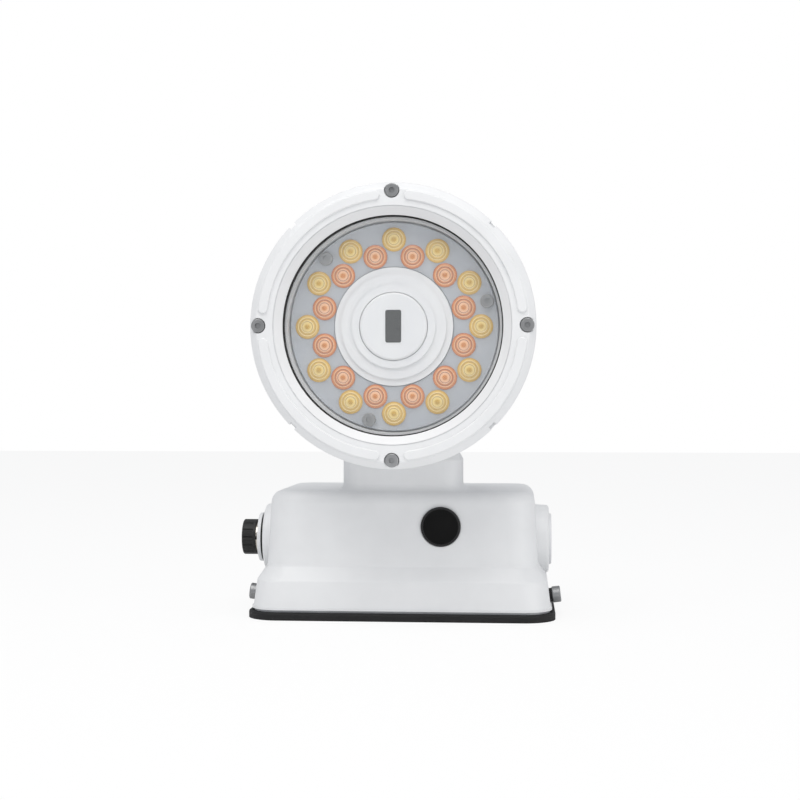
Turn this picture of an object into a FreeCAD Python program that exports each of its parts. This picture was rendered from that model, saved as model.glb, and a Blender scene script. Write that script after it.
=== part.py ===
import FreeCAD, Part
import math
import os
from FreeCAD import Vector

# An aimable warning lamp and sounder on a surface-mounted junction-box base.
# Millimetres. X to the right, the lamp faces -Y, Z up. The origin is on the mounting surface, under the
# middle of the base gasket.

# ---- Driving dimensions: base ------------------------------------------------------------------------
gasket_thick = 4.7
gasket_overhang = 2.75       # gasket beyond the plinth, each side
plate_edge = 1.5             # edge of the mounting plate that shows under the housing
plate_step = 2.5             # raised middle of the plate, inside the skirt of the housing
plate_inset = 0.8            # plate edge inside the plinth outline
plinth_width = 190.0
plinth_depth = 131.0
plinth_height = 17.8
plinth_draft = 2.2           # each side draws in over the plinth
foot_height = 1.4            # bead round the bottom of the plinth
foot_proud = 0.6
ledge_height = 9.0           # sloping ledge between plinth and body
ledge_run = 5.8
body_height = 47.5
body_draft = 2.5             # each side draws in over the body
corner_radius = 18.0
top_round = 8.0
ledge_round = 2.5
housing_wall = 3.5
skirt_gap = 0.7              # housing skirt to the raised plate

# ---- Neck and tilt pivot -------------------------------------------------------------------------------
neck_width = 76.5
neck_depth = 44.0
neck_corner = 11.0
neck_straight = 19.5         # height of the full-width neck above the base
neck_taper = 24.0            # height over which the neck narrows to the knuckle
neck_flare = 5.0
neck_wall = 6.5
pivot_y = -25.0
pivot_height = 69.5          # tilt axis above the top of the base
knuckle_radius = 16.0
knuckle_width = 50.0
friction_washer = 1.2
ear_thick = 14.0
ear_margin = 1.0             # ear end radius beyond the knuckle radius
ear_root_rise = 45.0         # ear root on the head, above the tilt axis
lock_bolt_radius = 5.0
lock_bolt_depth = 17.0       # thread in the knuckle
lock_head_radius = 8.0
lock_head_height = 8.0
lock_washer = 1.2
hollow_pivot_radius = 8.0
hollow_pivot_bore = 4.5
hollow_pivot_seat = 5.0      # length pressed into the ear
lead_radius = 1.8
lead_bend = 10.0
lead_channel = 3.5

# ---- Head ----------------------------------------------------------------------------------------------
head_radius = 85.0
head_rise = 32.5             # head axis above the tilt axis
head_reach = 97.0            # front of the ribs ahead of the tilt axis
rib_height = 1.3
rib_inner = 74.4
rib_outer = 80.2
rib_end_angle = 7.5          # rib ends, each side of the screws
bezel_thick = 10.6
bezel_slope = 4.2            # outer rim slopes back by this much
bezel_flat_inner = 70.3      # radius of the fine groove where the inner band starts
bezel_groove = 0.6
lens_opening = 65.6
bezel_lip = 1.0
band_depth = 4.1             # inner band, from the flat back to the lip
notch_width = 4.4
notch_depth = 2.2
bezel_screw_pitch = 79.7
bezel_screw_head = 4.1
bezel_screw_height = 2.6
bezel_screw_shank = 2.0
bezel_screw_depth = 9.0      # thread in the head housing
bezel_pocket_depth = 2.4
lens_seat_width = 3.7        # lens edge under the bezel lip
lens_gasket_thick = 1.0
lens_gasket_proud = 0.7      # gasket edge that shows inside the lip
lens_thick = 3.0
lens_side_gap = 0.3
seal_thick = 1.5
head_flange_inset = 0.5
head_flange_thick = 7.0
head_cone_start = 80.0       # radius behind the flange
head_cone_end = 56.0
head_cone_length = 39.0
head_back_wall = 6.0
chamber_radius = 63.5
chamber_depth = 19.7
pocket_radius = 53.0
fin_thick = 3.0
fin_pitch = 9.0
fin_height = 7.0
outer_fins = 3               # fins outside each ear
middle_fins = 2              # fins each side of the middle one

# ---- Light engine --------------------------------------------------------------------------------------
lens_count = 12              # lenslets in each ring
yellow_pitch = 52.2
amber_pitch = 43.3
lenslet_radius = 7.25
lenslet_steps = ((1.0, 1.2), (0.69, 0.7), (0.36, 0.6))   # radius as a share of the lenslet, height
optic_radius = 62.5
optic_inner = 35.8
optic_thick = 2.5
optic_gap = 6.1              # lens seat plane to the front of the optic plate
board_thick = 1.6
chip_size = 3.5
chip_height = 1.2
chip_gap = 0.3               # chip to the tip of its lenslet
tip_radius = 2.6
optic_screw_pitch = 57.8
optic_screw_angles = (15.0, 135.0, 255.0)
optic_screw_head = 4.0
optic_screw_height = 2.6
optic_screw_shank = 1.5
optic_screw_depth = 7.0
spacer_radius = 3.4
reflector_steps = ((35.5, 1.0), (31.5, 2.5), (25.0, 4.0))   # radius, height above the optic plate
reflector_wall = 2.4
boss_radius = 20.3
boss_gap = 0.3
boss_rise = 5.5              # boss front ahead of the front of the optic plate
boss_wall = 2.0
window_width = 9.5
window_height = 19.5
window_corner = 1.2
sensor_step = 1.8            # shoulder in the boss under the sensor board
sensor_setback = 9.5         # sensor board behind the boss front
driver_radius = 51.5
driver_rise = 8.4            # driver board above the pocket floor
driver_post_pitch = 36.0

# ---- Side ports ----------------------------------------------------------------------------------------
port_height = 46.5
port_boss_radius = 22.2
port_boss_face = 94.3        # boss face from the middle of the base
port_boss_taper = 0.8
port_boss_round = 2.0
port_pad_radius = 14.0
port_pad_face = 80.0
port_bore = 8.1
port_shank = 7.9
port_gasket_radius = 15.6
port_gasket_thick = 2.0
flange_radius = 16.25
flange_thick = 2.3
collar_radius = 10.0
collar_thick = 2.0
thread_radius = 6.0
thread_length = 6.4
socket_bore = 4.6
insert_setback = 3.0
pin_radius = 0.5
pin_pitch = 2.3
cap_radius = 11.75
cap_end_wall = 1.7
cap_seal_thick = 1.0
cap_collar_gap = 0.2
cap_fit = 0.06
cap_flutes = 14
cap_flute_radius = 1.3
nut_across = 22.0
nut_thick = 4.0
blank_radius = 16.75
blank_thick = 1.7
oring_radius = 12.2
oring_width = 2.0
oring_depth = 1.6

# ---- Sounder -------------------------------------------------------------------------------------------
sounder_x = 25.5
sounder_height = 58.6
sounder_radius = 12.5
sounder_rim_width = 1.4
sounder_rim_thick = 2.1
sounder_mesh_thick = 0.8
sounder_mesh_setback = 0.5
sounder_spot_gap = 0.3
sounder_sleeve = 9.5
sounder_sleeve_bore = 7.5
sounder_sleeve_length = 11.4
sounder_nut_radius = 13.5
capsule_radius = 12.0
capsule_length = 16.0

# ---- Inside the base -----------------------------------------------------------------------------------
bolt_x = 78.0                # surface fixing holes, from the middle
bolt_y = 48.0
bolt_hole = 3.25
cable_x = -40.0
cable_y = 38.0
cable_hole = 11.0
grommet_flange = 2.5
grommet_lip = 2.0
grommet_bore = 7.0
clamp_y = -22.0
clamp_rise = 5.8             # clamp screws above the bottom of the housing
clamp_shank = 3.0
clamp_head = 5.2
clamp_head_height = 5.4
clamp_washer_radius = 4.4
clamp_washer_thick = 2.0
clamp_length = 11.0
tab_height = 11.3
tab_width = 18.0
tab_thick = 7.0
tab_gap = 0.5
board_width = 128.0
board_depth = 84.0
board_rise = 11.3            # control board above the plate
board_notch_gap = 0.5        # board to the edge of the grommet, seen from above
pillar_x = 58.0
pillar_y = 36.0
pillar_across = 5.5
pillar_stud = 1.5
board_screw_head = 2.8
board_screw_height = 2.0
terminal_ways = 6
terminal_pitch = 7.0
terminal_depth = 11.0
terminal_height = 12.0
terminal_x = -34.0
terminal_y = 14.0
power_size = (46.0, 30.0, 22.0)
power_at = (26.0, 18.0)
capacitor_radius = 8.0
capacitor_height = 25.0
capacitor_at = ((-14.0, -26.0), (-34.0, -26.0))
header_size = (10.0, 7.0, 8.0)
selector_size = 10.0
selector_height = 5.0
selector_at = (30.0, -26.0)
rotor_radius = 3.2
rotor_fit = 0.05
rotor_depth = 3.0
rotor_proud = 0.6
earth_at = (62.0, -50.0)
earth_shank = 2.5
earth_head = 4.8
earth_height = 3.4

# ---- Levels and places worked out from the sizes above -------------------------------------------------
plate_bottom = gasket_thick
housing_bottom = plate_bottom + plate_edge
plate_top = housing_bottom + plate_step
plinth_top = housing_bottom + plinth_height
ledge_top = plinth_top + ledge_height
base_top = ledge_top + body_height
body_inset = plinth_draft + ledge_run
top_inset = body_inset + body_draft
pivot_z = base_top + pivot_height
head_z = pivot_z + head_rise
ear_inner = knuckle_width / 2 + friction_washer
ear_outer = ear_inner + ear_thick
ear_radius = knuckle_radius + ear_margin

rib_front = pivot_y - head_reach
bezel_front = rib_front + rib_height
bezel_back = bezel_front + bezel_thick
lip_front = bezel_front + band_depth
lip_back = lip_front + bezel_lip
lens_front = lip_back + lens_gasket_thick
lens_back = lens_front + lens_thick
lens_radius = lens_opening + lens_seat_width
seat_plane = lens_back + seal_thick
chamber_floor = seat_plane + chamber_depth
cone_front = seat_plane + head_flange_thick
head_back = cone_front + head_cone_length
pocket_floor = head_back - head_back_wall
board_front = chamber_floor - board_thick
chip_front = board_front - chip_height
optic_front = seat_plane + optic_gap
optic_back = optic_front + optic_thick
boss_front = optic_front - boss_rise
sensor_front = boss_front + sensor_setback
driver_back = pocket_floor - driver_rise
driver_front = driver_back - board_thick
fin_back = head_back + fin_height

board_bottom = plate_top + board_rise
board_top = board_bottom + board_thick
clamp_z = housing_bottom + clamp_rise
clamp_angle = math.degrees(math.atan2(plinth_draft, plinth_height))
flange_face = port_boss_face + port_gasket_thick + flange_thick
collar_face = flange_face + collar_thick
thread_end = collar_face + thread_length
cap_open = collar_face + cap_collar_gap
cap_inner = thread_end + cap_seal_thick
cap_end = cap_inner + cap_end_wall


# ---- Small makers --------------------------------------------------------------------------------------
def block(x0, x1, y0, y1, z0, z1):
    """A box between two corners."""
    return Part.makeBox(x1 - x0, y1 - y0, z1 - z0, Vector(x0, y0, z0))


def rod_x(radius, x0, x1, y, z):
    """A cylinder along X from x0 to x1."""
    return Part.makeCylinder(radius, abs(x1 - x0), Vector(min(x0, x1), y, z), Vector(1, 0, 0))


def rod_y(radius, y0, y1, x, z):
    """A cylinder along Y from y0 to y1."""
    return Part.makeCylinder(radius, y1 - y0, Vector(x, y0, z), Vector(0, 1, 0))


def rod_z(radius, z0, z1, x, y):
    """A cylinder along Z from z0 to z1."""
    return Part.makeCylinder(radius, z1 - z0, Vector(x, y, z0), Vector(0, 0, 1))


def head_disc(radius, y0, y1):
    """A cylinder on the axis of the head."""
    return rod_y(radius, y0, y1, 0, head_z)


def head_ring(outer, inner, y0, y1):
    """A flat ring on the axis of the head."""
    return head_disc(outer, y0, y1).cut(head_disc(inner, y0, y1))


def head_point(radius, angle):
    """X and Z of a point on the face of the head, the angle from +X towards +Z."""
    turn = math.radians(angle)
    return radius * math.cos(turn), head_z + radius * math.sin(turn)


def head_profile(points):
    """A solid turned about the axis of the head from (radius, y) corners."""
    corners = [Vector(r, y, head_z) for r, y in points]
    face = Part.Face(Part.makePolygon(corners + corners[:1]))
    return face.revolve(Vector(0, 0, head_z), Vector(0, 1, 0), 360)


def round_outline(width, depth, radius, z, y_mid=0.0):
    """A closed rounded rectangle in a level plane."""
    a, b = width / 2, depth / 2
    c, d = a - radius, b - radius
    k = radius * math.sqrt(0.5)
    ends = (
        ((c, -b), (c + k, -d - k), (a, -d)),
        ((a, d), (c + k, d + k), (c, b)),
        ((-c, b), (-c - k, d + k), (-a, d)),
        ((-a, -d), (-c - k, -d - k), (-c, -b)),
    )
    edges = []
    last = Vector(ends[3][2][0], ends[3][2][1] + y_mid, z)
    for arc in ends:
        p, q, r = [Vector(x, y + y_mid, z) for x, y in arc]
        edges.append(Part.LineSegment(last, p).toShape())
        edges.append(Part.Arc(p, q, r).toShape())
        last = r
    return Part.Wire(edges)


def slab(width, depth, radius, z0, z1):
    """A rounded rectangular plate."""
    return Part.Face(round_outline(width, depth, radius, z0)).extrude(Vector(0, 0, z1 - z0))


def plinth_outline(inset, z, radius=None):
    """The plan outline of the plinth, drawn in by an inset."""
    corner = corner_radius if radius is None else radius
    return round_outline(plinth_width - 2 * inset, plinth_depth - 2 * inset, corner, z)


def hexagon_z(across, z0, z1, x, y):
    """A hexagonal bar along Z."""
    reach = across / math.sqrt(3)
    turns = [math.radians(60 * k) for k in range(7)]
    corners = [Vector(x + reach * math.cos(t), y + reach * math.sin(t), z0) for t in turns]
    return Part.Face(Part.makePolygon(corners)).extrude(Vector(0, 0, z1 - z0))


def hexagon_x(across, x0, x1, y, z):
    """A hexagonal bar along X."""
    reach = across / math.sqrt(3)
    turns = [math.radians(60 * k) for k in range(7)]
    corners = [Vector(x0, y + reach * math.cos(t), z + reach * math.sin(t)) for t in turns]
    return Part.Face(Part.makePolygon(corners)).extrude(Vector(x1 - x0, 0, 0))


def around_head(shape, angle):
    """A copy turned about the axis of the head, from +X towards +Z."""
    turned = shape.copy()
    turned.rotate(Vector(0, 0, head_z), Vector(0, 1, 0), -angle)
    return turned


def mirrored(shape):
    """The same shape on the other side of the middle plane."""
    return shape.mirror(Vector(0, 0, 0), Vector(1, 0, 0))


def level_edges(shape, z, y_limits=None):
    """Edges that lie wholly in the plane at height z."""
    found = []
    for edge in shape.Edges:
        box = edge.BoundBox
        if abs(box.ZMin - z) > 0.01 or abs(box.ZMax - z) > 0.01:
            continue
        if y_limits and (box.YMin < y_limits[0] or box.YMax > y_limits[1]):
            continue
        found.append(edge)
    return found


def rings_at(shape, radius, y):
    """Circular edges about the head axis with this radius, in the plane y."""
    found = []
    for edge in shape.Edges:
        round_edge = isinstance(edge.Curve, Part.Circle)
        if round_edge and abs(edge.Curve.Radius - radius) < 0.01 and abs(edge.Curve.Center.y - y) < 0.01:
            found.append(edge)
    return found


# ---- Base: what lies against the mounting surface -------------------------------------------------------
def bolt_places():
    return [(sx * bolt_x, sy * bolt_y) for sx in (-1, 1) for sy in (-1, 1)]


def make_base_gasket():
    """Flat rubber gasket with the fixing holes and room for the grommet."""
    width = plinth_width + 2 * gasket_overhang
    depth = plinth_depth + 2 * gasket_overhang
    gasket = slab(width, depth, corner_radius + gasket_overhang, 0, gasket_thick)
    gasket = gasket.makeFillet(1.2, level_edges(gasket, gasket_thick))
    for x, y in bolt_places():
        gasket = gasket.cut(rod_z(bolt_hole, 0, gasket_thick, x, y))
    return gasket.cut(rod_z(cable_hole + grommet_flange + 0.5, 0, gasket_thick, cable_x, cable_y))


def clamp_place(shape, side):
    """Puts a shape made along +X on a drafted side of the plinth, square to it."""
    x = plinth_width / 2 - plinth_draft * clamp_rise / plinth_height
    placed = shape.copy()
    placed.rotate(Vector(0, 0, 0), Vector(0, 1, 0), -clamp_angle)
    placed.translate(Vector(x, clamp_y, clamp_z))
    return placed if side > 0 else mirrored(placed)


def make_mounting_plate():
    """Plate with a raised middle that centres the housing, and a tab at each side for the clamp screws."""
    edge = slab(
        plinth_width - 2 * plate_inset,
        plinth_depth - 2 * plate_inset,
        corner_radius - plate_inset,
        plate_bottom,
        housing_bottom,
    )
    inset = housing_wall + skirt_gap
    middle = slab(
        plinth_width - 2 * inset,
        plinth_depth - 2 * inset,
        corner_radius - inset,
        housing_bottom,
        plate_top,
    )
    plate = edge.fuse(middle)
    tab_top = plate_top + tab_height
    skirt_at_top = plinth_width / 2 - plinth_draft * (tab_top - housing_bottom) / plinth_height
    tab_face = skirt_at_top - housing_wall - tab_gap
    tab = block(
        tab_face - tab_thick,
        tab_face,
        clamp_y - tab_width / 2,
        clamp_y + tab_width / 2,
        plate_top,
        tab_top,
    )
    for side in (-1, 1):
        plate = plate.fuse(tab if side > 0 else mirrored(tab))
    plate = plate.removeSplitter()
    for side in (-1, 1):
        plate = plate.cut(clamp_place(rod_x(clamp_shank, -clamp_length, 0, 0, 0), side))
    for x, y in bolt_places():
        plate = plate.cut(rod_z(bolt_hole, plate_bottom, plate_top, x, y))
    plate = plate.cut(rod_z(cable_hole, plate_bottom, plate_top, cable_x, cable_y))
    for x, y in pillar_places():
        plate = plate.cut(rod_z(pillar_stud, plate_bottom, plate_top, x, y))
    return plate.cut(rod_z(earth_shank, plate_bottom, plate_top, *earth_at))


def make_cable_grommet():
    """Rubber grommet round the edge of the cable entry."""
    flange = cable_hole + grommet_flange
    low = rod_z(flange, plate_bottom - grommet_lip, plate_bottom, cable_x, cable_y)
    high = rod_z(flange, plate_top, plate_top + grommet_lip, cable_x, cable_y)
    neck = rod_z(cable_hole, plate_bottom, plate_top, cable_x, cable_y)
    body = low.fuse(neck).fuse(high)
    return body.cut(
        rod_z(grommet_bore, plate_bottom - grommet_lip, plate_top + grommet_lip, cable_x, cable_y)
    ).removeSplitter()


def make_earth_screw():
    """Earth terminal screw in the plate, slotted."""
    x, y = earth_at
    screw = rod_z(earth_head, plate_top, plate_top + earth_height, x, y)
    screw = screw.fuse(rod_z(earth_shank, plate_bottom, plate_top, x, y))
    top = plate_top + earth_height
    slot = block(x - earth_head, x + earth_head, y - 0.6, y + 0.6, top - 1.2, top)
    return screw.cut(slot)


def make_clamp_screws():
    """Hex-socket screws that pull the housing skirt to the tabs of the plate."""
    screw = rod_x(clamp_shank, -clamp_length, clamp_washer_thick, 0, 0)
    head = rod_x(clamp_head, clamp_washer_thick, clamp_washer_thick + clamp_head_height, 0, 0)
    head = head.makeFillet(0.7, head.Edges)
    socket = hexagon_x(5.0, clamp_washer_thick + 2.4, clamp_washer_thick + clamp_head_height, 0, 0)
    screw = screw.fuse(head).cut(socket)
    return Part.makeCompound([clamp_place(screw, side) for side in (-1, 1)])


def make_clamp_washers():
    """Sealing washers under the clamp screws."""
    washer = rod_x(clamp_washer_radius, 0, clamp_washer_thick, 0, 0)
    washer = washer.cut(rod_x(clamp_shank, 0, clamp_washer_thick, 0, 0))
    return Part.makeCompound([clamp_place(washer, side) for side in (-1, 1)])


# ---- Base housing with its neck -------------------------------------------------------------------------
def housing_outside():
    """The drafted box, its ledge and plinth, with the neck and knuckle on top."""
    shell = Part.makeLoft(
        [
            plinth_outline(0, housing_bottom),
            plinth_outline(plinth_draft, plinth_top),
            plinth_outline(body_inset, ledge_top),
            plinth_outline(top_inset, base_top),
        ],
        True,
        True,
    )
    shell = shell.makeFillet(top_round, level_edges(shell, base_top))
    shell = shell.makeFillet(ledge_round, level_edges(shell, plinth_top) + level_edges(shell, ledge_top))
    foot = slab(
        plinth_width + 2 * foot_proud,
        plinth_depth + 2 * foot_proud,
        corner_radius + foot_proud,
        housing_bottom,
        housing_bottom + foot_height,
    )
    neck = Part.makeLoft(
        [
            round_outline(neck_width, neck_depth, neck_corner, base_top - 2, pivot_y),
            round_outline(neck_width, neck_depth, neck_corner, base_top + neck_straight, pivot_y),
            round_outline(
                knuckle_width,
                2 * knuckle_radius,
                neck_corner - 3,
                base_top + neck_straight + neck_taper,
                pivot_y,
            ),
            round_outline(knuckle_width, 2 * knuckle_radius, neck_corner - 3, pivot_z, pivot_y),
        ],
        True,
        True,
    )
    knuckle = rod_x(knuckle_radius, -knuckle_width / 2, knuckle_width / 2, pivot_y, pivot_z)
    square_top = block(
        -knuckle_width / 2,
        knuckle_width / 2,
        pivot_y - knuckle_radius,
        pivot_y + knuckle_radius,
        base_top + neck_straight + neck_taper + 4,
        pivot_z,
    )
    outside = shell.fuse(neck)
    edge_limits = (pivot_y - neck_depth / 2 - 0.1, pivot_y + neck_depth / 2 + 0.1)
    outside = outside.makeFillet(neck_flare, level_edges(outside, base_top, edge_limits))
    return outside.fuse(foot).fuse(square_top).fuse(knuckle)


def housing_cavity():
    """The room inside the housing, open below and running up into the neck."""
    corner = corner_radius - housing_wall
    drop = housing_wall / 2
    room = Part.makeLoft(
        [
            plinth_outline(housing_wall, housing_bottom - 1, corner),
            plinth_outline(housing_wall, housing_bottom, corner),
            plinth_outline(housing_wall + plinth_draft, plinth_top - drop, corner),
            plinth_outline(housing_wall + body_inset, ledge_top - drop, corner),
            plinth_outline(housing_wall + top_inset, base_top - housing_wall, corner),
        ],
        True,
        True,
    )
    width = neck_width - 2 * neck_wall
    depth = neck_depth - 2 * neck_wall
    neck_room = Part.makeLoft(
        [
            round_outline(width, depth, neck_corner - 4, base_top - housing_wall - 4, pivot_y),
            round_outline(width, depth, neck_corner - 4, base_top + neck_straight, pivot_y),
            round_outline(
                knuckle_width - 2 * neck_wall,
                2 * (knuckle_radius - neck_wall),
                neck_corner - 6,
                base_top + neck_straight + neck_taper - 4,
                pivot_y,
            ),
        ],
        True,
        True,
    )
    return room.fuse(neck_room)


def port_boss():
    """Round boss of a side port, on the right."""
    length = 12.0
    boss = Part.makeCone(
        port_boss_radius + port_boss_taper,
        port_boss_radius,
        length,
        Vector(port_boss_face - length, 0, port_height),
        Vector(1, 0, 0),
    )
    outer = [e for e in boss.Edges if abs(e.BoundBox.XMin - port_boss_face) < 0.01]
    return boss.makeFillet(port_boss_round, outer)


def sounder_spot():
    """Plane of the flat that the sounder rim seats on: level with the top of the rim."""
    rim_top = sounder_height + sounder_radius
    drawn_in = body_inset + body_draft * (rim_top - ledge_top) / body_height
    return -plinth_depth / 2 + drawn_in


def make_base_housing():
    """Cast housing: box, ports, neck and knuckle in one piece."""
    right = port_boss()
    housing = housing_outside().fuse(right).fuse(mirrored(right))
    housing = housing.cut(housing_cavity())
    inner_face = plinth_width / 2 - body_inset - 1
    pad = rod_x(port_pad_radius, port_pad_face, inner_face, 0, port_height)
    housing = housing.fuse(pad).fuse(mirrored(pad))
    bore = rod_x(port_bore, port_pad_face - 1, port_boss_face + 1, 0, port_height)
    housing = housing.cut(bore).cut(mirrored(bore))
    groove = rod_x(oring_radius + oring_width / 2, port_boss_face - oring_depth, port_boss_face, 0, port_height)
    core = rod_x(oring_radius - oring_width / 2, port_boss_face - oring_depth, port_boss_face, 0, port_height)
    housing = housing.cut(groove.cut(core))
    for side in (-1, 1):
        hole = rod_x(clamp_shank + 0.2, -housing_wall - 2, 1, 0, 0)
        housing = housing.cut(clamp_place(hole, side))
    return cut_sounder_port(cut_pivot_bores(housing))


def cut_pivot_bores(housing):
    """Lead way up the neck and the two bores of the knuckle."""
    way_bottom = base_top + neck_straight
    housing = housing.cut(rod_z(lead_channel + 2.5, way_bottom, pivot_z, 0, pivot_y))
    left_bore = rod_x(hollow_pivot_radius + 0.05, -knuckle_width / 2 - 1, 6, pivot_y, pivot_z)
    thread = rod_x(lock_bolt_radius, knuckle_width / 2 - lock_bolt_depth, knuckle_width / 2 + 1, pivot_y, pivot_z)
    return housing.cut(left_bore).cut(thread)


def cut_sounder_port(housing):
    """Flat and bore of the sounder port in the drafted front wall."""
    spot = sounder_spot()
    flat = rod_y(sounder_radius + sounder_spot_gap, spot - 5, spot, sounder_x, sounder_height)
    pad_back = spot + housing_wall + 1.0
    pad = rod_y(sounder_nut_radius, spot + 1, pad_back, sounder_x, sounder_height)
    housing = housing.cut(flat).fuse(pad)
    return housing.cut(rod_y(sounder_sleeve, spot - 1, pad_back, sounder_x, sounder_height))


# ---- Sounder ---------------------------------------------------------------------------------------------
def make_sounder_rim():
    """Black screw-in port body: flange outside, threaded sleeve through the wall."""
    spot = sounder_spot()
    front = spot - sounder_rim_thick
    flange = rod_y(sounder_radius, front, spot, sounder_x, sounder_height)
    outer = [e for e in flange.Edges if abs(e.BoundBox.YMax - front) < 0.01]
    flange = flange.makeFillet(0.6, outer)
    recess = rod_y(sounder_radius - sounder_rim_width, front, mesh_back(), sounder_x, sounder_height)
    sleeve = rod_y(sounder_sleeve, spot, spot + sounder_sleeve_length, sounder_x, sounder_height)
    bore = rod_y(sounder_sleeve_bore, front, spot + sounder_sleeve_length, sounder_x, sounder_height)
    return flange.fuse(sleeve).cut(recess).cut(bore).removeSplitter()


def mesh_back():
    return sounder_spot() - sounder_rim_thick + sounder_mesh_setback + sounder_mesh_thick


def make_sounder_mesh():
    """Fine acoustic mesh with its membrane, in the recess of the rim."""
    return rod_y(
        sounder_radius - sounder_rim_width,
        mesh_back() - sounder_mesh_thick,
        mesh_back(),
        sounder_x,
        sounder_height,
    )


def sounder_pad_back():
    return sounder_spot() + housing_wall + 1.0


def make_sounder_nut():
    """Round nut that holds the port body to the wall."""
    back = sounder_pad_back() + 4.0
    nut = rod_y(sounder_nut_radius, sounder_pad_back(), back, sounder_x, sounder_height)
    return nut.cut(rod_y(sounder_sleeve, sounder_pad_back(), back, sounder_x, sounder_height))


def make_sounder_capsule():
    """Piezo sounder capsule on the end of the sleeve, with its two terminals."""
    start = sounder_spot() + sounder_sleeve_length
    capsule = rod_y(capsule_radius, start, start + capsule_length, sounder_x, sounder_height)
    capsule = capsule.makeFillet(1.0, capsule.Edges[:1])
    for dx in (-5.0, 5.0):
        end = start + capsule_length
        capsule = capsule.fuse(rod_y(0.6, end, end + 4, sounder_x + dx, sounder_height))
    return capsule


# ---- Left port: connector and its screw cap -------------------------------------------------------------
def left_ring(outer, inner, x0, x1):
    """A ring on the axis of the left port, between two distances from the middle."""
    return rod_x(outer, -x1, -x0, 0, port_height).cut(rod_x(inner, -x1, -x0, 0, port_height))


def make_port_gasket():
    return left_ring(port_gasket_radius, port_shank, port_boss_face, port_boss_face + port_gasket_thick)


def make_port_flange():
    """White flange ring over the gasket."""
    inner_x = port_boss_face + port_gasket_thick
    ring = rod_x(flange_radius, -flange_face, -inner_x, 0, port_height)
    outer = [e for e in ring.Edges if abs(e.BoundBox.XMax + flange_face) < 0.01]
    ring = ring.makeFillet(0.6, outer)
    return ring.cut(rod_x(port_shank, -flange_face, -inner_x, 0, port_height))


def make_connector_barrel():
    """Plated barrel: shank through the wall, keyed collar, and the thread for plug or cap."""
    shank_end = port_pad_face - nut_thick - 1
    barrel = rod_x(port_shank, -flange_face, -shank_end, 0, port_height)
    collar = rod_x(collar_radius, -collar_face, -flange_face, 0, port_height)
    collar = collar.cut(
        block(-collar_face, -flange_face, -collar_radius, -collar_radius + 2.5, port_height - 1.1, port_height + 1.1)
    )
    thread = rod_x(thread_radius, -thread_end, -collar_face, 0, port_height)
    barrel = barrel.fuse(collar).fuse(thread)
    return barrel.cut(rod_x(socket_bore, -thread_end, -shank_end, 0, port_height)).removeSplitter()


def make_connector_insert():
    """Moulded insert that carries the pins."""
    insert = rod_x(socket_bore, -thread_end + insert_setback, -port_pad_face + nut_thick, 0, port_height)
    for pin in pin_rods():
        insert = insert.cut(pin)
    return insert


def pin_rods():
    rods = []
    for k in range(4):
        turn = math.radians(45 + 90 * k)
        y = pin_pitch * math.cos(turn)
        z = port_height + pin_pitch * math.sin(turn)
        rods.append(rod_x(pin_radius, -thread_end + 1, -port_pad_face + nut_thick + 3, y, z))
    return rods


def make_connector_pins():
    return Part.makeCompound(pin_rods())


def panel_nut():
    """Hexagonal panel nut on the right port."""
    nut = hexagon_x(nut_across, port_pad_face - nut_thick, port_pad_face, 0, port_height)
    return nut.cut(rod_x(port_shank, port_pad_face - nut_thick, port_pad_face, 0, port_height))


def make_connector_nut():
    return mirrored(panel_nut())


def make_connector_cap():
    """Fluted screw cap over the connector thread."""
    cap = rod_x(cap_radius, -cap_end, -cap_open, 0, port_height)
    cap = cap.makeFillet(0.8, [e for e in cap.Edges if abs(e.BoundBox.XMax + cap_end) < 0.01])
    flute_start = cap_open + 1.6
    for k in range(cap_flutes):
        turn = 2 * math.pi * k / cap_flutes
        pitch = cap_radius + cap_flute_radius * 0.35
        flute = rod_x(
            cap_flute_radius,
            -cap_end,
            -flute_start,
            pitch * math.cos(turn),
            port_height + pitch * math.sin(turn),
        )
        cap = cap.cut(flute)
    return cap.cut(rod_x(thread_radius + cap_fit, -cap_inner, -cap_open, 0, port_height))


def make_cap_seal():
    """Flat rubber seal at the bottom of the cap."""
    return rod_x(thread_radius - 0.1, -cap_inner, -thread_end, 0, port_height)


# ---- Right port: blank ------------------------------------------------------------------------------------
def make_blank_plate():
    """Blank cover with its stud through the port."""
    face = port_boss_face + blank_thick
    plate = rod_x(blank_radius, port_boss_face, face, 0, port_height)
    plate = plate.makeFillet(0.7, [e for e in plate.Edges if abs(e.BoundBox.XMin - face) < 0.01])
    return plate.fuse(rod_x(port_shank, port_pad_face - nut_thick - 1, port_boss_face, 0, port_height))


def make_blank_oring():
    outer = oring_radius + oring_width / 2
    inner = oring_radius - oring_width / 2
    ring = rod_x(outer, port_boss_face - oring_depth, port_boss_face, 0, port_height)
    return ring.cut(rod_x(inner, port_boss_face - oring_depth, port_boss_face, 0, port_height))


def make_blank_nut():
    return panel_nut()


# ---- Electronics in the base ------------------------------------------------------------------------------
def pillar_places():
    return [(sx * pillar_x, sy * pillar_y) for sx in (-1, 1) for sy in (-1, 1)]


def make_board_pillars():
    """Brass pillars with a stud in the plate."""
    pillars = []
    for x, y in pillar_places():
        pillar = hexagon_z(pillar_across, plate_top, board_bottom, x, y)
        pillars.append(pillar.fuse(rod_z(pillar_stud, plate_bottom, plate_top, x, y)))
    return Part.makeCompound(
        [p.cut(rod_z(pillar_stud, board_bottom - 5, board_bottom, x, y)) for p, (x, y) in zip(pillars, pillar_places())]
    )


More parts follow.
